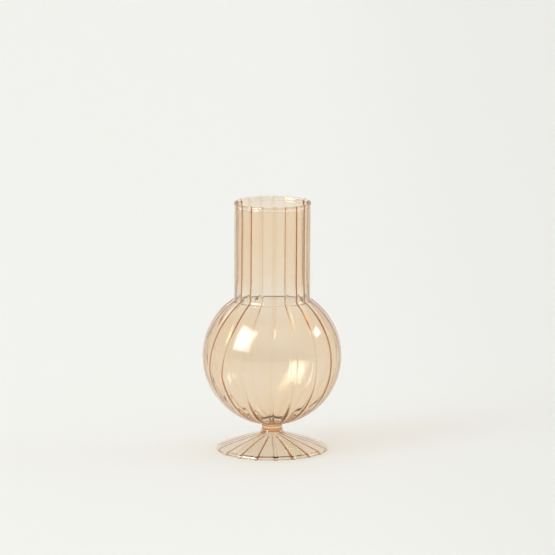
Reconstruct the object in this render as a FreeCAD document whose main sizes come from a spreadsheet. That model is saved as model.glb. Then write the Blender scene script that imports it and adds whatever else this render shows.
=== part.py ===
import FreeCAD, Part
import math
import os
import re
import Sketcher

# Ribbed art glass vase on a foot. Z is the axis of the glass, the foot rests on Z = 0 and -Y is the front.
# Four pieces of hot-worked glass are welded end to end: neck, bulb, stem and foot.

SHEET = "Sizes"

# Driving dimensions in millimetres (the turn is in degrees), each with the alias that the features use.
DRIVING_SIZES = [
    ("overall_height", 181.4, "table to the top of the lip"),
    ("wall", 1.7, "wall of the neck and the bulb between the ribs"),
    ("neck_radius", 27.3, "outside of the neck"),
    ("lip_bead_radius", 1.1, "fire-polished bead round the mouth"),
    ("crease_fillet", 3.0, "outside fillet where the neck lands on the bulb"),
    ("bulb_radius", 50.0, "outside of the bulb"),
    ("bulb_centre", 69.1, "height of the middle of the bulb"),
    ("well_mouth", 9.0, "radius where the floor of the bulb drops into the well above the stem"),
    ("well_radius", 6.2, "radius of the floor of that well"),
    ("well_floor", 18.6, "height of the floor of that well"),
    ("rib_count", 18, "ribs round the glass"),
    ("rib_width", 3.0, "width of a rib"),
    ("rib_height", 0.6, "how far a rib stands in from the wall"),
    ("rib_end_round", 0.3, "rounding of the upper end of a rib"),
    ("rib_turn", 11.0, "turn of the ribs about the axis, in degrees"),
    ("waist_radius", 7.4, "narrowest part, where the tail of the bulb is welded to the stem"),
    ("weld_height", 17.0, "height of that weld"),
    ("waist_top", 17.6, "height where the tail starts to widen towards the ball"),
    ("tail_radius", 7.9, "tail where it meets the ball"),
    ("dome_radius", 6.0, "hollow that rises from the foot into the stem"),
    ("dome_top", 14.4, "height of the roof of that hollow"),
    ("collar_radius", 10.6, "stem where it meets the foot"),
    ("foot_radius", 40.4, "outside of the foot"),
    ("foot_wall", 1.9, "wall of the foot"),
    ("foot_arc_radius", 260.0, "curve of the top of the foot"),
    ("foot_arc_back", 57.7, "how far the centre of that curve lies behind the axis"),
    ("foot_arc_depth", 238.3, "how far the centre of that curve lies below the table"),
    ("rim_inset", 1.7, "from the outside of the foot in to the start of the rim's round"),
    ("rim_corner", 0.6, "rounding between the rim and the face that it rests on"),
    ("rest_width", 0.8, "width of the ring that the foot rests on"),
    ("hole_mouth", 9.0, "radius where the underside of the foot turns up into the hollow of the stem"),
]

ALIASES = [row[0] for row in DRIVING_SIZES]

# Formulas that several outlines share, written with the sheet's aliases.
SHARED = {
    "inner_radius": "(neck_radius - wall)",
    "bulb_inner": "(bulb_radius - wall)",
    "fillet_centre": "(bulb_centre + sqrt((bulb_radius + crease_fillet)^2 - (neck_radius + crease_fillet)^2))",
    "seam_outer_x": "((neck_radius + crease_fillet) * bulb_radius / (bulb_radius + crease_fillet))",
    "seam_outer_z": "(bulb_centre + sqrt(bulb_radius^2 - seam_outer_x^2))",
    "seam_inner_z": "(bulb_centre + sqrt(bulb_inner^2 - inner_radius^2))",
    "seam_tip_x": "(inner_radius - 3 * rib_height)",
    "seam_tip_z": "(seam_inner_z - 3 * rib_height * inner_radius / sqrt(bulb_inner^2 - inner_radius^2))",
    "bead_foot": "(overall_height - lip_bead_radius - sqrt(lip_bead_radius^2 - (wall / 2)^2))",
    "tail_top": "(bulb_centre - sqrt(bulb_radius^2 - tail_radius^2))",
    "well_edge": "(bulb_centre - sqrt(bulb_inner^2 - well_mouth^2))",
    "well_slope": "((well_edge - well_floor) / (well_mouth - well_radius))",
    "foot_inner": "(foot_arc_radius - foot_wall)",
    "collar_top": "(sqrt(foot_arc_radius^2 - (foot_arc_back + collar_radius)^2) - foot_arc_depth)",
    "rim_start": "(foot_radius - rim_inset)",
    "rim_start_z": "(sqrt(foot_arc_radius^2 - (foot_arc_back + rim_start)^2) - foot_arc_depth)",
    "rim_slope": "((foot_arc_back + rim_start) / foot_arc_radius)",
    "rim_round": "(rim_inset / (1 - rim_slope))",
    "rest_outer": "(foot_radius - rim_corner)",
    "rest_inner": "(rest_outer - rest_width)",
    "under_rim": "(rest_inner - rest_width)",
    "hole_edge": "(sqrt(foot_inner^2 - (foot_arc_back + hole_mouth)^2) - foot_arc_depth)",
    "hole_slope": "((collar_top - hole_edge) / (hole_mouth - dome_radius))",
    "rib_start": "(hole_mouth - rib_height)",
    "collar_slope": "((foot_arc_back + collar_radius) / foot_arc_radius)",
    "collar_round": "((collar_radius - waist_radius) / (1 - collar_slope))",
}


def expand(formula):
    """Writes a formula out for FreeCAD: shared formulas spelled out, aliases read from the sheet."""

    def spelled(word):
        name = word.group(0)
        if name in SHARED:
            return expand(SHARED[name])
        return SHEET + "." + name if name in ALIASES else name

    return re.sub("[a-z_]+", spelled, formula)


def make_sheet(doc):
    sheet = doc.addObject("Spreadsheet::Sheet", SHEET)
    for row, (alias, value, meaning) in enumerate(DRIVING_SIZES, start=1):
        sheet.set("A%d" % row, meaning)
        sheet.set("B%d" % row, str(value))
        sheet.setAlias("B%d" % row, alias)
    doc.recompute()
    return sheet


def origin_feature(body, role):
    return next(f for f in body.Origin.OriginFeatures if f.Role == role)


def new_sketch(body, name, plane):
    sketch = body.newObject("Sketcher::SketchObject", name)
    sketch.AttachmentSupport = [(origin_feature(body, plane), "")]
    sketch.MapMode = "FlatFace"
    return sketch


def point_rules(sketch, edge, end, where):
    """Rules that tie one end of an edge to its two formulas, or to an axis where a formula is zero."""
    rules = []
    for axis, formula, on_axis in (("DistanceX", where[0], -2), ("DistanceY", where[1], -1)):
        if formula == "0":
            rules.append((Sketcher.Constraint("PointOnObject", edge, end, on_axis), None))
            continue
        value = float(sketch.evalExpression(expand(formula)))
        rules.append((Sketcher.Constraint(axis, -1, 1, edge, end, value), formula))
    return rules


def radius_rule(sketch, edge, radius):
    value = float(sketch.evalExpression(expand(radius)))
    return Sketcher.Constraint("Radius", edge, value), radius


def add_rules(sketch, rules):
    """Adds all rules at once, then binds each one that has a formula to the sheet."""
    first = sketch.ConstraintCount
    sketch.addConstraint([rule for rule, formula in rules])
    for number, (rule, formula) in enumerate(rules, start=first):
        if formula is not None:
            sketch.setExpression("Constraints[%d]" % number, expand(formula))


def arc_between(start, end, radius, side, long_way):
    """Arc of a circle between two points, drawn anticlockwise as a sketch keeps it.

    Side 1 bulges to the left of the way from start to end, -1 to the right.
    """
    chord = end - start
    half = chord.Length / 2
    left = FreeCAD.Vector(-chord.y, chord.x, 0).normalize()
    lift = math.sqrt(max(radius**2 - half**2, 0.0))
    centre = (start + end) / 2 + left * (lift * side * (1 if long_way else -1))
    top = centre + left * (side * radius)
    if side > 0:
        return Part.Arc(end, top, start)
    return Part.Arc(start, top, end)


def draw_outline(sketch, points, arcs):
    """Closed outline through the points. arcs gives the arc edges by the number of their first point."""
    places = []
    for x, y in points:
        x_value = float(sketch.evalExpression(expand(x)))
        y_value = float(sketch.evalExpression(expand(y)))
        places.append(FreeCAD.Vector(x_value, y_value, 0))
    ends = []
    for number, start in enumerate(places):
        end = places[(number + 1) % len(places)]
        if number not in arcs:
            sketch.addGeometry(Part.LineSegment(start, end), False)
            ends.append((1, 2))
            continue
        radius, side, long_way = arcs[number]
        value = float(sketch.evalExpression(expand(radius)))
        arc = arc_between(start, end, value, side, long_way)
        edge = sketch.addGeometry(arc, False)
        drawn = sketch.Geometry[edge]
        forward = drawn.StartPoint.distanceToPoint(start) < drawn.EndPoint.distanceToPoint(start)
        ends.append((1, 2) if forward else (2, 1))
    rules = []
    for number, where in enumerate(points):
        after = (number + 1) % len(places)
        joint = Sketcher.Constraint("Coincident", number, ends[number][1], after, ends[after][0])
        rules.append((joint, None))
        rules += point_rules(sketch, number, ends[number][0], where)
    for number, (radius, side, long_way) in arcs.items():
        rules.append(radius_rule(sketch, number, radius))
    add_rules(sketch, rules)


def draw_open_arc(sketch, start, end, radius, side):
    """One arc between two points, for a feature to follow."""
    ends = []
    for x, y in (start, end):
        x_value = float(sketch.evalExpression(expand(x)))
        y_value = float(sketch.evalExpression(expand(y)))
        ends.append(FreeCAD.Vector(x_value, y_value, 0))
    value = float(sketch.evalExpression(expand(radius)))
    edge = sketch.addGeometry(arc_between(ends[0], ends[1], value, side, False), False)
    drawn = sketch.Geometry[edge]
    forward = drawn.StartPoint.distanceToPoint(ends[0]) < drawn.EndPoint.distanceToPoint(ends[0])
    first, last = (1, 2) if forward else (2, 1)
    rules = point_rules(sketch, edge, first, start) + point_rules(sketch, edge, last, end)
    add_rules(sketch, rules + [radius_rule(sketch, edge, radius)])


def turned(body, name, points, arcs, kind="PartDesign::Revolution"):
    """Outline in the XZ plane, turned once round the axis of the glass."""
    sketch = new_sketch(body, name + "_outline", "XZ_Plane")
    draw_outline(sketch, points, arcs)
    feature = body.newObject(kind, name)
    feature.Profile = sketch
    feature.ReferenceAxis = (sketch, ["V_Axis"])
    feature.Angle = 360
    body.Document.recompute()
    return feature


def all_round(body, feature):
    """Repeats one rib all round the axis."""
    pattern = body.newObject("PartDesign::PolarPattern", feature.Name + "s_all_round")
    pattern.Originals = [feature]
    pattern.Axis = (origin_feature(body, "Z_Axis"), [""])
    pattern.Angle = 360
    pattern.setExpression("Occurrences", expand("rib_count"))
    body.Tip = pattern
    body.Document.recompute()
    return pattern


def new_body(doc, label):
    body = doc.addObject("PartDesign::Body", label)
    body.Label = label
    body.Placement = FreeCAD.Placement(FreeCAD.Vector(), FreeCAD.Rotation(FreeCAD.Vector(0, 0, 1), 1.0))
    body.setExpression("Placement.Rotation.Angle", expand("rib_turn"))
    return body


def make_neck(doc):
    """Ribbed tube with a bead round the mouth and a flared hem that lands on the bulb."""
    body = new_body(doc, "neck")
    wall_points = [
        ("seam_outer_x", "seam_outer_z"),
        ("neck_radius", "fillet_centre"),
        ("neck_radius", "bead_foot"),
        ("inner_radius", "bead_foot"),
        ("inner_radius", "seam_inner_z"),
    ]
    wall_arcs = {0: ("crease_fillet", 1, False), 2: ("lip_bead_radius", -1, True)}
    turned(body, "neck_wall", wall_points, wall_arcs)

    section = new_sketch(body, "neck_rib_section", "XY_Plane")
    section.setExpression("AttachmentOffset.Base.z", expand("seam_inner_z - 4 * rib_height"))
    draw_rib_section(section, "inner_radius", "inner_radius + wall / 2")
    rib = body.newObject("PartDesign::Pad", "neck_rib")
    rib.Profile = section
    rib.setExpression("Length", expand("overall_height - lip_bead_radius - seam_inner_z + 4 * rib_height"))
    doc.recompute()
    all_round(body, rib)

    below_seam = [
        ("seam_tip_x", "seam_tip_z"),
        ("inner_radius", "seam_inner_z"),
        ("seam_outer_x", "seam_outer_z"),
        ("seam_outer_x", "seam_tip_z - 6 * rib_height"),
        ("seam_tip_x", "seam_tip_z - 6 * rib_height"),
    ]
    turned(body, "neck_seam", below_seam, {}, "PartDesign::Groove")
    round_rib_tops(body)
    return body


def draw_rib_section(sketch, face, root):
    """Rib section seen along the rib: a flat root inside the wall and a round crest out of its face."""
    points = [
        (face, "rib_width / 2"),
        (face, "-rib_width / 2"),
        (root, "-rib_width / 2"),
        (root, "rib_width / 2"),
    ]
    crest = "((rib_width / 2)^2 + rib_height^2) / (2 * rib_height)"
    draw_outline(sketch, points, {0: (crest, -1, False)})


def round_rib_tops(body):
    """Fire-polished upper ends of the neck's ribs."""
    tip = body.Tip
    top = float(tip.evalExpression(expand("overall_height - lip_bead_radius")))
    crests = []
    for number, edge in enumerate(tip.Shape.Edges, start=1):
        box = edge.BoundBox
        if abs(box.ZMin - top) < 1e-4 and abs(box.ZMax - top) < 1e-4:
            if edge.Curve.TypeId == "Part::GeomCircle" and edge.Curve.Radius < 5:
                crests.append("Edge%d" % number)
    if not crests:
        raise RuntimeError("the ribs have no upper ends")
    fillet = body.newObject("PartDesign::Fillet", "rib_end_rounds")
    fillet.Base = (tip, crests)
    fillet.setExpression("Radius", expand("rib_end_round"))
    body.Tip = fillet
    body.Document.recompute()


def make_bulb(doc):
    """Blown ball with ribs down its inside, and a tail whose well the ribs run into."""
    body = new_body(doc, "bulb")
    wall_points = [
        ("seam_outer_x", "seam_outer_z"),
        ("inner_radius", "seam_inner_z"),
        ("well_mouth", "well_edge"),
        ("0", "well_edge"),
        ("0", "weld_height"),
        ("waist_radius", "weld_height"),
        ("waist_radius", "waist_top"),
        ("tail_radius", "tail_top"),
    ]
    tail_round = (
        "((tail_radius - waist_radius)^2 + (tail_top - waist_top)^2) / (2 * (tail_radius - waist_radius))"
    )
    wall_arcs = {
        1: ("bulb_inner", 1, False),
        6: (tail_round, 1, False),
        7: ("bulb_radius", -1, False),
    }
    turned(body, "bulb_wall", wall_points, wall_arcs)

    section = new_sketch(body, "bulb_rib_section", "XY_Plane")
    section.setExpression("AttachmentOffset.Base.z", expand("bulb_centre"))
    draw_rib_section(section, "bulb_inner", "bulb_inner + wall / 2")
    rib = body.newObject("PartDesign::Revolution", "bulb_rib")
    rib.Profile = section
    rib.ReferenceAxis = (section, ["V_Axis"])
    rib.Type = "TwoAngles"
    rib.setExpression("Angle", expand("acos((well_mouth - rib_height) / bulb_inner)"))
    rib.setExpression("Angle2", expand("acos((seam_tip_x + rib_height) / bulb_inner)"))
    doc.recompute()
    all_round(body, rib)

    well = [
        ("0", "well_floor"),
        ("well_radius", "well_floor"),
        ("well_mouth + rib_height", "well_edge + rib_height * well_slope"),
        ("well_mouth + rib_height", "well_edge + 4 * rib_height"),
        ("0", "well_edge + 4 * rib_height"),
    ]
    turned(body, "bulb_well", well, {}, "PartDesign::Groove")
    above_seam = [
        ("seam_tip_x", "seam_tip_z"),
        ("inner_radius", "seam_inner_z"),
        ("seam_outer_x", "seam_outer_z"),
        ("seam_outer_x", "seam_outer_z + 4 * rib_height"),
        ("seam_tip_x", "seam_outer_z + 4 * rib_height"),
    ]
    turned(body, "bulb_seam", above_seam, {}, "PartDesign::Groove")
    return body


def make_stem(doc):
    """Short plug under the ball: flat weld on top, flared collar below and a domed hollow in it."""
    body = new_body(doc, "stem")
    points = [
        ("0", "weld_height"),
        ("waist_radius", "weld_height"),
        ("waist_radius", "collar_top + collar_round * sqrt(1 - collar_slope^2)"),
        ("collar_radius", "collar_top"),
        ("dome_radius", "collar_top"),
        ("0", "dome_top"),
    ]
    dome = "(dome_radius^2 + (dome_top - collar_top)^2) / (2 * (dome_top - collar_top))"
    arcs = {2: ("collar_round", -1, False), 4: (dome, -1, False)}
    turned(body, "stem_turned", points, arcs)
    return body


def make_foot(doc):
    """Flared shell open into the stem, with ribs down its underside and a ring to rest on."""
    body = new_body(doc, "foot")
    under = "sqrt(foot_inner^2 - (foot_arc_back + %s)^2) - foot_arc_depth"
    wall_points = [
        ("dome_radius", "collar_top"),
        ("collar_radius", "collar_top"),
        ("rim_start", "rim_start_z"),
        ("foot_radius", "rim_start_z - rim_round * sqrt(1 - rim_slope^2)"),
        ("foot_radius", "rim_corner"),
        ("rest_outer", "0"),
        ("rest_inner", "0"),
        ("under_rim", under % "under_rim"),
        ("hole_mouth", "hole_edge"),
    ]
    wall_arcs = {
        1: ("foot_arc_radius", 1, False),
        2: ("rim_round", 1, False),
        4: ("rim_corner", 1, False),
        7: ("foot_inner", -1, False),
    }
    turned(body, "foot_wall_turned", wall_points, wall_arcs)

    way = new_sketch(body, "foot_rib_way", "XZ_Plane")
    start = ("rib_start", under % "rib_start")
    end = ("under_rim", under % "under_rim")
    draw_open_arc(way, start, end, "foot_inner", 1)
    section = new_sketch(body, "foot_rib_section", "YZ_Plane")
    section.setExpression("AttachmentOffset.Base.z", expand("rib_start"))
    section.setExpression("AttachmentOffset.Base.y", expand(under % "rib_start"))
    section.AttachmentOffset.Rotation = FreeCAD.Rotation(FreeCAD.Vector(0, 0, 1), 90)
    draw_rib_section(section, "0", "foot_wall / 2")
    rib = body.newObject("PartDesign::AdditivePipe", "foot_rib")
    rib.Profile = section
    rib.Spine = (way, ["Edge1"])
    doc.recompute()
    all_round(body, rib)

    hole = [
        ("0", "collar_top"),
        ("dome_radius", "collar_top"),
        ("hole_mouth + rib_height", "hole_edge - rib_height * hole_slope"),
        ("hole_mouth + rib_height", "hole_edge - 4 * rib_height"),
        ("0", "hole_edge - 4 * rib_height"),
    ]
    turned(body, "foot_hole", hole, {}, "PartDesign::Groove")
    return body


document = FreeCAD.newDocument("vase")
make_sheet(document)
BUILDERS = [make_neck, make_bulb, make_stem, make_foot]
pieces = [build(document) for build in BUILDERS]
document.recompute()

for item in document.Objects:
    if "Invalid" in item.State or "Error" in item.State:
        raise RuntimeError("%s is %s" % (item.Label, item.State))
for piece in pieces:
    if piece.Shape.isNull() or not piece.Shape.isValid() or len(piece.Shape.Solids) != 1:
        raise RuntimeError("%s is not one whole solid" % piece.Label)

os.makedirs("parts", exist_ok=True)
for piece in pieces:
    piece.Shape.exportStep(os.path.join("parts", piece.Label + ".step"))
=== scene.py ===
import math

import bpy
import numpy as np
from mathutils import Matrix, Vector


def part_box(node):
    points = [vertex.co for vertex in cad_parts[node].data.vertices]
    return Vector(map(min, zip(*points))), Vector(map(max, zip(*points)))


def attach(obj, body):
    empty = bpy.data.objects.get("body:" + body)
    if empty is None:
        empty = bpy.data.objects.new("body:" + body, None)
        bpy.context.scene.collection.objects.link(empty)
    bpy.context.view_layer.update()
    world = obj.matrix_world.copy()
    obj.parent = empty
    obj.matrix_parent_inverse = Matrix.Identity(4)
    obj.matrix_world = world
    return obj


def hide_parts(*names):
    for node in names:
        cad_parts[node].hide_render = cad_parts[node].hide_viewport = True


# A ribbed amber glass vase on a pale floor. Metres, Z up, the camera looks along +Y from the front.

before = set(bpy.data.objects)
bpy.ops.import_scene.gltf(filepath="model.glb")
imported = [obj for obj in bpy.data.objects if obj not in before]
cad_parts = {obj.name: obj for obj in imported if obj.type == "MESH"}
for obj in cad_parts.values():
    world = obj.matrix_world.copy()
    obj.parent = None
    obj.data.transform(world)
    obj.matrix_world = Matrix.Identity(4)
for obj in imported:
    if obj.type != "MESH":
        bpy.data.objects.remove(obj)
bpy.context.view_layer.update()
MM = 0.001

# ---------------------------------------------------------------- sizes, most of them read from the frame

neck_low, neck_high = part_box("neck")
bulb_low, bulb_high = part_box("bulb")
stem_low, stem_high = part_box("stem")
foot_low, foot_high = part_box("foot")

WALL = 1.7 * MM
FOOT_WALL = 1.9 * MM
HEM_FILLET = 3.0 * MM
BEAD_RADIUS = 1.1 * MM
BEAD_SHIFT = 0.2 * MM
CREASE_WALL = 0.85 * MM
THINNING = 14.0 * MM
WAIST = 7.4 * MM
TAIL_FLARE = 1.6 * MM
WELL_MOUTH = 9.0 * MM
WELL = 6.2 * MM
WELL_CORNER = 1.5 * MM
FLOOR_GLASS = 1.6 * MM
DOME = 6.0 * MM
DOME_RISE = 1.65 * MM
HOLE_MOUTH = 9.0 * MM
MOUTH_ROUNDING = 1.2 * MM

TOP = neck_high.z
WELD = bulb_low.z
COLLAR_TOP = stem_low.z
WELL_FLOOR = WELD + FLOOR_GLASS
DOME_TOP = COLLAR_TOP + DOME_RISE
BALL = (bulb_high.x - bulb_low.x) / 2
HEM = (neck_high.x - neck_low.x) / 2
COLLAR = (stem_high.x - stem_low.x) / 2
FOOT = (foot_high.x - foot_low.x) / 2
BALL_CENTRE = bulb_high.z - math.sqrt(BALL**2 - HEM**2)
BALL_INNER = BALL - WALL
NECK = HEM * (BALL + HEM_FILLET) / BALL - HEM_FILLET
BORE = NECK - WALL

# The ribs stand in from the inner face of the wall.
RIB_COUNT = 18
RIB_TURN = math.radians(11.0)
RIB_HALF_WIDTH = 1.9 * MM
LIP_RIB = 0.25 * MM
NECK_RIB = 0.6 * MM
SHOULDER_RIB = 0.62 * MM
UPPER_RIB = 0.8 * SHOULDER_RIB
MIDDLE_RIB = 0.23 * MM
FLOOR_RIB = 0.54 * MM
WELL_RIB = 0.4 * FLOOR_RIB
FOOT_RIB = 0.46 * MM
RIM_RIB = 0.3 * MM
RIB_SPREAD = 0.15
RIB_SHIFT = math.radians(0.7)
DRAW_LINES = 0.036 * MM

# The ribs of the ball are low between these two elevations on it.
UPPER_FADE = math.radians(22)
LOWER_FADE = math.radians(-18)

# Hand work leaves the glass a little uneven: the wall stays inside its nominal shape, the ribs in front
# and behind drift to the right by an angle that changes with the height, those on the left of the ball
# are pulled further left, the neck leans to the right, and the foot's rim waves up from the table.
UNEVEN = 0.003
TURN_HEIGHTS = (0.015, 0.027, 0.06, 0.09, 0.113)
DRIFTS = np.radians((2.5, 0.0, 0.0, 0.0, 2.0))
PULLS = np.radians((0.0, -7.0, -10.5, -3.0, 0.0))
PULL_MIDDLE = math.radians(-131)
PULL_WIDTH = math.radians(38)
LEAN = 0.006
RIM_WAVE = 0.3 * MM
RIM_WAVE_RISE = 3 * MM

# The glass: how much of red, green and blue light each metre of it takes, as a natural logarithm.
ABSORB = (24.0, 82.0, 165.0)
GLASS_IOR = 1.474
STEM_TINT = 0.3
FOOT_TINT = 0.55
LEAK_DEPTH = 5
LEAK_TINT = (0.7, 0.64, 0.48)
FACE_PASSES = 0.96
LONGEST_WAY = 0.4
NOISE_MIDDLE = 0.5
SURFACE_WAVE = 0.02 * MM

# The paper's grain runs between two colours, and painted shade darkens the sheet over this reach to the
# right.
PAPER_DARK = (0.85, 0.857, 0.833, 1)
PAPER_LIGHT = (0.88, 0.887, 0.863, 1)
PAPER_GRAIN = 0.02 * MM
PAPER_PAINTED_SHADE_REACH = (0.0, 0.26)
PAPER_PAINTED_SHADE = (1.0, 0.95)


# ---------------------------------------------------------------- outlines (radius, height)

def with_air(point, along):
    """A point of an outline and the way to the air there, which is to the right of the path."""
    size = math.hypot(*along)
    return (point[0], point[1], along[1] / size, -along[0] / size)


def line(start, end, count):
    """Points from start up to but not including end."""
    along = (end[0] - start[0], end[1] - start[1])
    points = []
    for k in range(count):
        share = k / count
        points.append(with_air((start[0] + along[0] * share, start[1] + along[1] * share), along))
    return points


def arc(centre, radius, first, last, count):
    """Points on a circle from angle first up to but not including angle last, in radians."""
    points = []
    sense = math.copysign(1, last - first)
    for k in range(count):
        angle = first + (last - first) * k / count
        point = (centre[0] + radius * math.cos(angle), centre[1] + radius * math.sin(angle))
        points.append(with_air(point, (-sense * math.sin(angle), sense * math.cos(angle))))
    return points


def follow(place, count):
    """Points place(share) for shares of 0 up to but not including 1."""
    points = []
    for k in range(count):
        here, after = place(k / count), place(k / count + 1e-4)
        points.append(with_air(here, (after[0] - here[0], after[1] - here[1])))
    return points


def wall_near_crease(share):
    """The wall is drawn thin at the crease: from the full wall at share 0 to the thinnest at 1."""
    return WALL + (CREASE_WALL - WALL) * share * share * (3 - 2 * share)


def bend(start, corner, end, count):
    """A soft corner: points on a parabola from start up to but not including end."""
    points = []
    for k in range(count):
        t = k / count
        place, along = [], []
        for a, b, c in zip(start, corner, end):
            place.append((1 - t) ** 2 * a + 2 * t * (1 - t) * b + t * t * c)
            along.append((1 - t) * (b - a) + t * (c - b))
        points.append(with_air(place, along))
    return points


def between(start, end, share):
    return tuple(a + (b - a) * share for a, b in zip(start, end))


def on_ball(radius, r, upper):
    """The point at radius r on a sphere round the ball's centre."""
    rise = math.sqrt(radius**2 - r**2)
    return (r, BALL_CENTRE + (rise if upper else -rise))


def angle_to(centre, point):
    return math.atan2(point[1] - centre[1], point[0] - centre[0])


CENTRE = (0.0, BALL_CENTRE)
HEM_CENTRE = on_ball(BALL + HEM_FILLET, NECK + HEM_FILLET, True)
SEAM_OUT = on_ball(BALL, HEM, True)
SEAM_IN = on_ball(BALL - CREASE_WALL, HEM * (BALL - CREASE_WALL) / BALL, True)
HEM_ANGLE = angle_to(HEM_CENTRE, SEAM_OUT) % (2 * math.pi)
INTO_BALL = (-math.cos(angle_to(CENTRE, SEAM_OUT)), -math.sin(angle_to(CENTRE, SEAM_OUT)))
FOOT_BACK = 57.7 * MM
FOOT_DEPTH = 238.3 * MM
FOOT_CENTRE = (-FOOT_BACK, -FOOT_DEPTH)
FOOT_CURVE = math.hypot(COLLAR + FOOT_BACK, COLLAR_TOP + FOOT_DEPTH)


class Outline:
    """A path round the section of a piece, with the glass on its left and the air on its right.

    Each point has the height of the ribs there, and each edge says if it is melted to the next piece.
    """

    def __init__(self):
        self.points, self.ribs, self.melted = [], [], []

    def add(self, points, rib_start=0.0, rib_end=None, melted=False, push=None):
        rib_end = rib_start if rib_end is None else rib_end
        for k, point in enumerate(points):
            self.points.append(point if push is None else (point[0], point[1], *push))
            self.ribs.append(rib_start + (rib_end - rib_start) * k / len(points))
            self.melted.append(melted)


# ---------------------------------------------------------------- meshes

RIB_STEPS = 30
TURN_STEPS = RIB_COUNT * RIB_STEPS
MIDDLE_DENSITY = 0.42
AXIS_GAP = 0.8 * MM

hand = np.random.default_rng(18)
RIB_FACTORS = 1 + RIB_SPREAD * hand.uniform(-1, 1, RIB_COUNT)
RIB_SHIFTS = RIB_SHIFT * hand.uniform(-1, 1, RIB_COUNT)


def turn_angles():
    """Angles round the glass, closer together on the ribs, and each one's way from its rib's crest."""
    pitch = 2 * math.pi / RIB_COUNT
    u = (np.arange(RIB_STEPS) + 0.5) / RIB_STEPS - 0.5
    offset = u * (MIDDLE_DENSITY + (1 - MIDDLE_DENSITY) * 4 * u * u) * pitch
    ribs = np.arange(RIB_COUNT)[:, None]
    angles = RIB_TURN + ribs * pitch + offset[None, :]
    offsets = offset[None, :] - RIB_SHIFTS[:, None]
    return angles.ravel(), offsets.ravel()


def rib_section(offsets, radius, height):
    """Ribs of a height at a radius, larger where the glass is wider, and the fine lines of drawing."""
    widening = math.sqrt(radius / BORE)
    side = np.minimum(np.abs(offsets) * radius / (RIB_HALF_WIDTH * widening), 1.0)
    crests = (0.5 + 0.5 * np.cos(np.pi * side)) * np.repeat(RIB_FACTORS, RIB_STEPS)
    turns = np.linspace(0, 2 * math.pi, TURN_STEPS, endpoint=False)
    fine = (np.sin(41 * turns) + np.sin(58 * turns + 1.0) + np.sin(73 * turns + 2.0)) / 3
    return height * crests * widening + DRAW_LINES * min(1.0, height / MIDDLE_RIB) * fine


def hand_made(angles, reach, height):
    """The x and y of the points of a ring, and the lift that the rim's wave gives them.

    height is that of the ring, before any rib.
    """
    wave = 0.5 * np.sin(2 * angles + 40 * height + 1.3)
    wave += 0.3 * np.sin(5 * angles - 70 * height)
    wave += 0.2 * np.sin(3 * angles + 130 * height + 2.0)
    reach = reach * (1 - UNEVEN * (1 + wave) / 2)
    from_pull = (angles - PULL_MIDDLE + math.pi) % (2 * math.pi) - math.pi
    drifted = angles - np.interp(height, TURN_HEIGHTS, DRIFTS) * np.sin(angles)
    drifted += np.interp(height, TURN_HEIGHTS, PULLS) * np.exp(-((from_pull / PULL_WIDTH) ** 2))
    lean = LEAN * max(0.0, height - SEAM_OUT[1])
    rim_wave = 0.5 + 0.3 * np.sin(4 * angles) + 0.2 * np.sin(7 * angles)
    lift = RIM_WAVE * max(0.0, 1 - height / RIM_WAVE_RISE) * rim_wave
    return reach * np.cos(drifted) + lean, reach * np.sin(drifted), lift


def revolve(name, outline, closed, glass):
    """Turns an outline round the axis, with ribs.

    An open outline runs from axis to axis and is closed there.
    """
    angles, offsets = turn_angles()
    rows = []
    for (radius, height, across, up), rib in zip(outline.points, outline.ribs):
        bump = rib_section(offsets, radius, rib)
        x, y, lift = hand_made(angles, radius + across * bump, height)
        rows.append(np.stack([x, y, height + up * bump + lift], axis=1))
    count, steps = len(rows), TURN_STEPS
    faces, materials = [], []
    for row in range(count if closed else count - 1):
        low, high = row * steps, (row + 1) % count * steps
        for k in range(steps):
            after = (k + 1) % steps
            faces.append((low + k, low + after, high + after, high + k))
            materials.append(int(outline.melted[row]))
    if not closed:
        first = count * steps
        last = first + 1
        top = (count - 1) * steps
        rows.append(np.array([[0, 0, outline.points[0][1]], [0, 0, outline.points[-1][1]]]))
        for k in range(steps):
            after = (k + 1) % steps
            faces += [(first, after, k), (last, top + k, top + after)]
            materials += [int(outline.melted[0]), int(outline.melted[-1])]
    mesh = bpy.data.meshes.new(name)
    mesh.from_pydata(np.concatenate(rows).tolist(), [], faces)
    mesh.materials.append(glass)
    mesh.materials.append(MELTED)
    mesh.polygons.foreach_set("material_index", materials)
    mesh.polygons.foreach_set("use_smooth", [True] * len(faces))
    mesh.update()
    piece = bpy.data.objects.new(name, mesh)
    bpy.context.scene.collection.objects.link(piece)
    return piece


# ---------------------------------------------------------------- materials

def new_material(name):
    material = bpy.data.materials.new(name)
    material.use_nodes = True
    nodes = material.node_tree.nodes
    nodes.clear()
    return material, nodes, material.node_tree.links


def melted_joint():
    """Where two pieces are melted together there is no surface at all."""
    material, nodes, links = new_material("melted_joint")
    clear = nodes.new("ShaderNodeBsdfTransparent")
    out = nodes.new("ShaderNodeOutputMaterial")
    links.new(clear.outputs[0], out.inputs["Surface"])
    return material


def maths(nodes, links, operation, first, second=None):
    node = nodes.new("ShaderNodeMath")
    node.operation = operation
    for socket, value in zip(node.inputs, (first, second)):
        if value is None:
            continue
        if isinstance(value, (int, float)):
            socket.default_value = value
        else:
            links.new(value, socket)
    return node.outputs[0]


def fade(nodes, links, value, reach, levels):
    """A soft step from the first level to the second while the value crosses the reach."""
    node = nodes.new("ShaderNodeMapRange")
    node.interpolation_type = "SMOOTHSTEP"
    sockets = ("From Min", "From Max", "To Min", "To Max")
    for socket, number in zip(sockets, (*reach, *levels)):
        node.inputs[socket].default_value = number
    links.new(value, node.inputs["Value"])
    return node.outputs[0]


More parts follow.
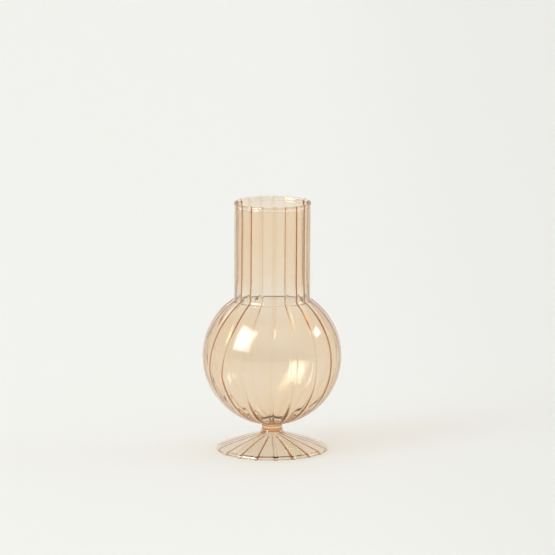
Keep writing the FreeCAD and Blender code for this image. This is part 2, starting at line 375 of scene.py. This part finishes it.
def noise(nodes, links, scale, detail):
    """Grey noise in the piece's own place, with features of about 1 / scale metres."""
    place = nodes.new("ShaderNodeTexCoord")
    node = nodes.new("ShaderNodeTexNoise")
    node.inputs["Scale"].default_value = scale
    node.inputs["Detail"].default_value = detail
    links.new(place.outputs["Object"], node.inputs["Vector"])
    return node.outputs["Fac"]


def bumps(nodes, links, height, depth):
    node = nodes.new("ShaderNodeBump")
    node.inputs["Strength"].default_value = 1.0
    node.inputs["Distance"].default_value = depth
    links.new(height, node.inputs["Height"])
    return node.outputs["Normal"]


def amber_glass(name, nominal, depth=1.0):
    """Clear amber glass that takes more light the longer the way through it.

    nominal is its usual wall, and depth is how deep its colour is beside the neck's. Light that is trapped
    in the wall leaks out of it, dimmed, after LEAK_DEPTH bounces. Shadow and diffuse rays pass through
    a tinted clear surface instead.
    """
    taken_here = [taken * depth for taken in ABSORB]
    material, nodes, links = new_material(name)
    path = nodes.new("ShaderNodeLightPath")
    geometry = nodes.new("ShaderNodeNewGeometry")
    inside = maths(nodes, links, "LESS_THAN", path.outputs["Ray Length"], LONGEST_WAY)
    way = maths(nodes, links, "MULTIPLY", path.outputs["Ray Length"], inside)
    outside = maths(nodes, links, "SUBTRACT", 1.0, inside)
    usual = maths(nodes, links, "MULTIPLY", outside, nominal)
    way = maths(nodes, links, "ADD", way, usual)
    way = maths(nodes, links, "MULTIPLY", way, geometry.outputs["Backfacing"])
    uneven = maths(nodes, links, "ADD", noise(nodes, links, scale=22, detail=2), NOISE_MIDDLE)
    way = maths(nodes, links, "MULTIPLY", way, uneven)
    colour = nodes.new("ShaderNodeCombineColor")
    for socket, taken in zip(colour.inputs, taken_here):
        exponent = maths(nodes, links, "MULTIPLY", way, -taken)
        links.new(maths(nodes, links, "EXPONENT", exponent), socket)
    glass = nodes.new("ShaderNodeBsdfGlass")
    glass.inputs["Roughness"].default_value = 0.0
    glass.inputs["IOR"].default_value = GLASS_IOR
    links.new(colour.outputs[0], glass.inputs["Color"])
    waves = bumps(nodes, links, noise(nodes, links, scale=90, detail=1), SURFACE_WAVE)
    links.new(waves, glass.inputs["Normal"])
    clear = nodes.new("ShaderNodeBsdfTransparent")
    passed = [math.exp(-taken * nominal / 2) * FACE_PASSES for taken in taken_here]
    clear.inputs["Color"].default_value = [*passed, 1]
    leak = nodes.new("ShaderNodeBsdfTransparent")
    dimmed = nodes.new("ShaderNodeVectorMath")
    dimmed.operation = "MULTIPLY"
    dimmed.inputs[1].default_value = LEAK_TINT
    links.new(colour.outputs[0], dimmed.inputs[0])
    links.new(dimmed.outputs[0], leak.inputs["Color"])
    trapped = maths(nodes, links, "GREATER_THAN", path.outputs["Ray Depth"], LEAK_DEPTH)
    leaking = nodes.new("ShaderNodeMixShader")
    links.new(trapped, leaking.inputs[0])
    links.new(glass.outputs[0], leaking.inputs[1])
    links.new(leak.outputs[0], leaking.inputs[2])
    lamp = maths(nodes, links, "MAXIMUM", path.outputs["Is Shadow Ray"], path.outputs["Is Diffuse Ray"])
    mix = nodes.new("ShaderNodeMixShader")
    links.new(lamp, mix.inputs[0])
    links.new(leaking.outputs[0], mix.inputs[1])
    links.new(clear.outputs[0], mix.inputs[2])
    out = nodes.new("ShaderNodeOutputMaterial")
    links.new(mix.outputs[0], out.inputs["Surface"])
    return material


def paper():
    """Pale seamless paper with a faint grain, and shade painted into its colour towards the right."""
    material, nodes, links = new_material("pale_paper")
    surface = nodes.new("ShaderNodeBsdfPrincipled")
    grain = noise(nodes, links, scale=700, detail=3)
    ramp = nodes.new("ShaderNodeValToRGB")
    ramp.color_ramp.elements[0].color = PAPER_DARK
    ramp.color_ramp.elements[1].color = PAPER_LIGHT
    links.new(grain, ramp.inputs["Fac"])
    place = nodes.new("ShaderNodeTexCoord")
    axes = nodes.new("ShaderNodeSeparateXYZ")
    links.new(place.outputs["Object"], axes.inputs[0])
    # Painted shade: the paper's colour is darkened towards the right, standing in for light that falls off
    # there.
    shade = fade(nodes, links, axes.outputs["X"], PAPER_PAINTED_SHADE_REACH, PAPER_PAINTED_SHADE)
    shaded = nodes.new("ShaderNodeVectorMath")
    shaded.operation = "SCALE"
    links.new(ramp.outputs["Color"], shaded.inputs[0])
    links.new(shade, shaded.inputs["Scale"])
    links.new(shaded.outputs[0], surface.inputs["Base Color"])
    links.new(bumps(nodes, links, grain, PAPER_GRAIN), surface.inputs["Normal"])
    surface.inputs["Roughness"].default_value = 0.9
    surface.inputs["Specular IOR Level"].default_value = 0.1
    out = nodes.new("ShaderNodeOutputMaterial")
    links.new(surface.outputs[0], out.inputs["Surface"])
    return material


MELTED = melted_joint()


# ---------------------------------------------------------------- the pieces

def make_neck():
    """Ribbed tube: up the outside, over the bead, down the inside and out along the seam."""
    outline = Outline()
    allowance = LIP_RIB * (1 + RIB_SPREAD) * math.sqrt(NECK / BORE) + DRAW_LINES
    bead_centre = (NECK - WALL / 2 + BEAD_SHIFT, TOP - BEAD_RADIUS - allowance)
    outer_reach = math.acos((NECK - bead_centre[0]) / BEAD_RADIUS)
    inner_reach = math.acos((bead_centre[0] - BORE) / BEAD_RADIUS)
    outer_foot = bead_centre[1] - BEAD_RADIUS * math.sin(outer_reach)
    inner_foot = bead_centre[1] - BEAD_RADIUS * math.sin(inner_reach)

    def thinning(t):
        return (NECK - wall_near_crease(t), HEM_CENTRE[1] + THINNING * (1 - t))

    outline.add(arc(HEM_CENTRE, HEM_FILLET, HEM_ANGLE, math.pi, 8))
    outline.add(line((NECK, HEM_CENTRE[1]), (NECK, outer_foot), 20))
    outline.add(arc(bead_centre, BEAD_RADIUS, -outer_reach, math.pi / 2, 12), 0.0, LIP_RIB)
    inner_bead = arc(bead_centre, BEAD_RADIUS, math.pi / 2, math.pi + inner_reach, 12)
    outline.add(inner_bead, LIP_RIB, NECK_RIB)
    outline.add(line((BORE, inner_foot), (BORE, HEM_CENTRE[1] + THINNING), 20), NECK_RIB)
    outline.add(follow(thinning, 16), NECK_RIB)
    inner_hem = arc(HEM_CENTRE, HEM_FILLET + CREASE_WALL, math.pi, HEM_ANGLE, 8)
    outline.add(inner_hem, NECK_RIB, SHOULDER_RIB)
    outline.add(line(SEAM_IN, SEAM_OUT, 4), SHOULDER_RIB, 0.0, melted=True, push=INTO_BALL)
    return revolve("neck_glass", outline, True, amber_glass("neck_amber", WALL))


def make_bulb():
    """Blown ball: from the weld up the outside, in along the seam, down the ribs to the well."""
    outline = Outline()
    tail = on_ball(BALL, WAIST + TAIL_FLARE, False)
    well_edge = on_ball(BALL_INNER, WELL_MOUTH, False)
    well_start = on_ball(BALL_INNER, WELL_MOUTH + MOUTH_ROUNDING, False)
    well_foot = (WELL, WELL_FLOOR)
    slope_top = between(well_edge, well_foot, 0.3)
    slope_end = between(well_edge, well_foot, 0.7)
    flat_edge = (WELL - WELL_CORNER, WELL_FLOOR)
    inner_seam = angle_to(CENTRE, SEAM_IN)
    inner_end = angle_to(CENTRE, well_start)
    full_wall = inner_seam - THINNING / BALL

    def shoulder(t):
        angle = inner_seam + (full_wall - inner_seam) * t
        radius = BALL - wall_near_crease(1 - t)
        return (radius * math.cos(angle), BALL_CENTRE + radius * math.sin(angle))

    outline.add(line((AXIS_GAP, WELD), (WAIST, WELD), 6), melted=True)
    outline.add(bend((WAIST, WELD), (WAIST, tail[1]), tail, 10))
    outline.add(arc(CENTRE, BALL, angle_to(CENTRE, tail), angle_to(CENTRE, SEAM_OUT), 64))
    outline.add(line(SEAM_OUT, SEAM_IN, 4), 0.0, SHOULDER_RIB, melted=True, push=INTO_BALL)
    outline.add(follow(shoulder, 14), SHOULDER_RIB, UPPER_RIB)
    outline.add(arc(CENTRE, BALL_INNER, full_wall, UPPER_FADE, 14), UPPER_RIB, MIDDLE_RIB)
    outline.add(arc(CENTRE, BALL_INNER, UPPER_FADE, LOWER_FADE, 24), MIDDLE_RIB)
    outline.add(arc(CENTRE, BALL_INNER, LOWER_FADE, inner_end, 30), MIDDLE_RIB, FLOOR_RIB)
    outline.add(bend(well_start, well_edge, slope_top, 6), FLOOR_RIB, WELL_RIB)
    outline.add(line(slope_top, slope_end, 4), WELL_RIB, 0.0)
    outline.add(bend(slope_end, well_foot, flat_edge, 5))
    outline.add(line(flat_edge, (AXIS_GAP, WELL_FLOOR), 5))
    outline.add(line((AXIS_GAP, WELL_FLOOR), (0, WELL_FLOOR), 1))
    return revolve("bulb_glass", outline, False, amber_glass("bulb_amber", WALL))


def make_stem():
    """Plug between the ball and the foot: a domed hollow below, a flared collar, and the weld on top."""
    outline = Outline()
    slope = (COLLAR + FOOT_BACK) / FOOT_CURVE
    collar_round = (COLLAR - WAIST) / (1 - slope)
    collar_centre = (WAIST + collar_round, COLLAR_TOP + collar_round * math.sqrt(1 - slope**2))
    collar_angle = angle_to(collar_centre, (COLLAR, COLLAR_TOP)) % (2 * math.pi)
    outline.add(bend((AXIS_GAP, DOME_TOP), (0.8 * DOME, DOME_TOP), (DOME, COLLAR_TOP), 10))
    outline.add(line((DOME, COLLAR_TOP), (COLLAR, COLLAR_TOP), 4), melted=True)
    outline.add(arc(collar_centre, collar_round, collar_angle, math.pi, 14))
    outline.add(line((WAIST, collar_centre[1]), (WAIST, WELD), 5))
    outline.add(line((WAIST, WELD), (AXIS_GAP, WELD), 6), melted=True)
    outline.add(line((AXIS_GAP, WELD), (0, WELD), 1), melted=True)
    return revolve("stem_glass", outline, False, amber_glass("stem_amber", WALL, STEM_TINT))


def foot_height(radius, curve):
    return math.sqrt(curve**2 - (radius + FOOT_BACK) ** 2) - FOOT_DEPTH


def make_foot():
    """Flared foot: down its hole, out along the ribbed underside, round the rim and back up the top."""
    outline = Outline()
    under = FOOT_CURVE - FOOT_WALL
    rim_inset = 1.7 * MM
    corner = 0.6 * MM
    rest_width = 0.8 * MM
    rest = RIM_RIB * (1 + RIB_SPREAD) * math.sqrt(FOOT / BORE) + DRAW_LINES
    rim_radius = FOOT - rest
    rim_start = (rim_radius - rim_inset, foot_height(rim_radius - rim_inset, FOOT_CURVE))
    slope = (rim_start[0] + FOOT_BACK) / FOOT_CURVE
    rim_round = rim_inset / (1 - slope)
    rim_centre = (rim_radius - rim_round, rim_start[1] - rim_round * math.sqrt(1 - slope**2))
    rest_outer = (rim_radius - corner, rest)
    rest_inner = (rest_outer[0] - rest_width, rest)
    under_rim_radius = rest_inner[0] - rest_width
    under_rim = (under_rim_radius, foot_height(under_rim_radius, under))
    hole_edge = (HOLE_MOUTH, foot_height(HOLE_MOUTH, under))
    hole_end = (HOLE_MOUTH + MOUTH_ROUNDING, foot_height(HOLE_MOUTH + MOUTH_ROUNDING, under))
    hole_slope_end = between((DOME, COLLAR_TOP), hole_edge, 0.6)
    outline.add(line((DOME, COLLAR_TOP), hole_slope_end, 4))
    outline.add(bend(hole_slope_end, hole_edge, hole_end, 6), 0.0, FOOT_RIB)
    first, last = angle_to(FOOT_CENTRE, hole_end), angle_to(FOOT_CENTRE, under_rim)
    outline.add(arc(FOOT_CENTRE, under, first, last, 40), FOOT_RIB)
    outline.add(line(under_rim, rest_inner, 4), FOOT_RIB, RIM_RIB)
    outline.add(line(rest_inner, rest_outer, 3), RIM_RIB)
    outline.add(arc((rest_outer[0], rest + corner), corner, -math.pi / 2, 0.0, 6), RIM_RIB)
    outline.add(arc(rim_centre, rim_round, 0.0, angle_to(rim_centre, rim_start), 12), RIM_RIB, 0.0)
    first, last = angle_to(FOOT_CENTRE, rim_start), angle_to(FOOT_CENTRE, (COLLAR, COLLAR_TOP))
    outline.add(arc(FOOT_CENTRE, FOOT_CURVE, first, last, 40))
    outline.add(line((COLLAR, COLLAR_TOP), (DOME, COLLAR_TOP), 4), melted=True)
    return revolve("foot_glass", outline, True, amber_glass("foot_amber", FOOT_WALL, FOOT_TINT))


# ---------------------------------------------------------------- camera, light and floor

CAMERA_AWAY = 3.8
CAMERA_RISE = math.radians(10.3)
FIELD = 0.3979
AIM = Vector((3.9 * MM, 0.0, 126.1 * MM))
SENSOR = 36.0
VIEW_END = 50.0
LAMP_AWAY = 20.0
LAMP_TARGET = Vector((0, 0, 0.09))
PANEL_STEP = 0.05
FLOOR_REACH = 6.0

# The sizes of a soft box's panels, as shares of the largest.
WIDE_CORE = (1.0, 0.88, 0.75, 0.61, 0.46)
SMALL_CORE = (1.0, 0.82, 0.66, 0.5, 0.36)

# In front of all the key's panels, which would hide it.
KEY_GLOSS_AWAY = 19.6

# Where the studio turns bright behind and above and dark below, as parts of a direction.
BEHIND_REACH = (-0.75, 0.3)
ABOVE_REACH = (0.3, 0.8)
HORIZON_REACH = (-0.05, 0.0)
CAMERA_SIDE_COLOUR = (0.37, 0.31, 0.19, 1)
BRIGHT_COLOUR = (1, 1, 1, 1)
BELOW_COLOUR = (0.3, 0.2, 0.11, 1)
STUDIO_STRENGTH = 0.84


def add_camera():
    data = bpy.data.cameras.new("camera")
    data.sensor_width = SENSOR
    data.lens = SENSOR * CAMERA_AWAY / FIELD
    data.clip_end = VIEW_END
    camera = bpy.data.objects.new("camera", data)
    back = Vector((0.0, -math.cos(CAMERA_RISE), math.sin(CAMERA_RISE)))
    camera.location = AIM + back * CAMERA_AWAY
    camera.rotation_euler = (-back).to_track_quat("-Z", "Y").to_euler()
    bpy.context.scene.collection.objects.link(camera)
    bpy.context.scene.camera = camera


def add_lamp(name, direction, away, width, height, watts):
    """Panel that faces the vase from an azimuth (+X towards +Y) and elevation, in degrees."""
    turn, rise = math.radians(direction[0]), math.radians(direction[1])
    towards = Vector((math.cos(turn) * math.cos(rise), math.sin(turn) * math.cos(rise), math.sin(rise)))
    data = bpy.data.lights.new(name, "AREA")
    data.shape = "RECTANGLE"
    data.size, data.size_y = width, height
    data.energy = watts
    lamp = bpy.data.objects.new(name, data)
    lamp.location = LAMP_TARGET + towards * away
    lamp.rotation_euler = (-towards).to_track_quat("-Z", "Y").to_euler()
    bpy.context.scene.collection.objects.link(lamp)
    return lamp


def add_soft_box(name, direction, width, height, watts, sizes, furthest=LAMP_AWAY):
    """Soft box with soft edges: panels that shine alike, each smaller and nearer than the last."""
    whole = sum(size**2 for size in sizes)
    panels = []
    for step, size in enumerate(sizes):
        away = furthest - PANEL_STEP * step
        power = watts * size**2 / whole
        panel_name = "%s_%d" % (name, step)
        panels.append(add_lamp(panel_name, direction, away, width * size, height * size, power))
    return panels


def add_floor():
    """Sheet of paper that runs far out to every side of the vase."""
    mesh = bpy.data.meshes.new("floor")
    reach = FLOOR_REACH
    corners = [(-reach, -reach, 0), (reach, -reach, 0), (reach, reach, 0), (-reach, reach, 0)]
    mesh.from_pydata(corners, [], [(0, 1, 2, 3)])
    mesh.materials.append(paper())
    floor = bpy.data.objects.new("floor", mesh)
    bpy.context.scene.collection.objects.link(floor)


def add_world():
    """Studio: bright behind and overhead, dark on the camera's side and brown below the horizon."""
    world = bpy.data.worlds.new("studio")
    world.use_nodes = True
    nodes, links = world.node_tree.nodes, world.node_tree.links
    place = nodes.new("ShaderNodeTexCoord")
    axes = nodes.new("ShaderNodeSeparateXYZ")
    links.new(place.outputs["Generated"], axes.inputs[0])
    behind = fade(nodes, links, axes.outputs["Y"], BEHIND_REACH, (0.0, 1.0))
    above = fade(nodes, links, axes.outputs["Z"], ABOVE_REACH, (0.0, 1.0))
    level = maths(nodes, links, "MAXIMUM", behind, above)
    ramp = nodes.new("ShaderNodeValToRGB")
    ramp.color_ramp.elements[0].color = CAMERA_SIDE_COLOUR
    ramp.color_ramp.elements[1].color = BRIGHT_COLOUR
    links.new(level, ramp.inputs["Fac"])
    under = fade(nodes, links, axes.outputs["Z"], HORIZON_REACH, (1.0, 0.0))
    below = nodes.new("ShaderNodeMix")
    below.data_type = "RGBA"
    links.new(under, below.inputs[0])
    links.new(ramp.outputs["Color"], below.inputs[6])
    below.inputs[7].default_value = BELOW_COLOUR
    background = nodes["Background"]
    links.new(below.outputs[2], background.inputs["Color"])
    background.inputs["Strength"].default_value = STUDIO_STRENGTH
    bpy.context.scene.world = world


scene = bpy.context.scene
scene.view_settings.view_transform = "Standard"
scene.cycles.caustics_refractive = False
scene.cycles.caustics_reflective = False
scene.cycles.max_bounces = 24
scene.cycles.sample_clamp_indirect = 20
scene.cycles.transmission_bounces = 24
scene.cycles.glossy_bounces = 12
scene.cycles.transparent_max_bounces = 48
scene.cycles.use_denoising = True

add_camera()
add_soft_box("key", (213.5, 30.5), width=12.4, height=14.0, watts=1750, sizes=WIDE_CORE)
add_soft_box("side", (8.5, 26.5), width=6.4, height=3.8, watts=420, sizes=WIDE_CORE)
gloss_panels = add_soft_box("key_gloss", (213.5, 31.5), 10.6, 13.0, 2900, SMALL_CORE, KEY_GLOSS_AWAY)
for panel in gloss_panels:
    panel.visible_diffuse = False
wash = add_lamp("background_wash", (90, 32), away=6.0, width=3.0, height=2.0, watts=9)
wash.visible_glossy = False
wash.visible_transmission = False
add_floor()
add_world()

for build, node in ((make_neck, "neck"), (make_bulb, "bulb"), (make_stem, "stem"), (make_foot, "foot")):
    piece = build()
    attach(piece, "root")
    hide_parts(node)

bpy.context.view_layer.update()
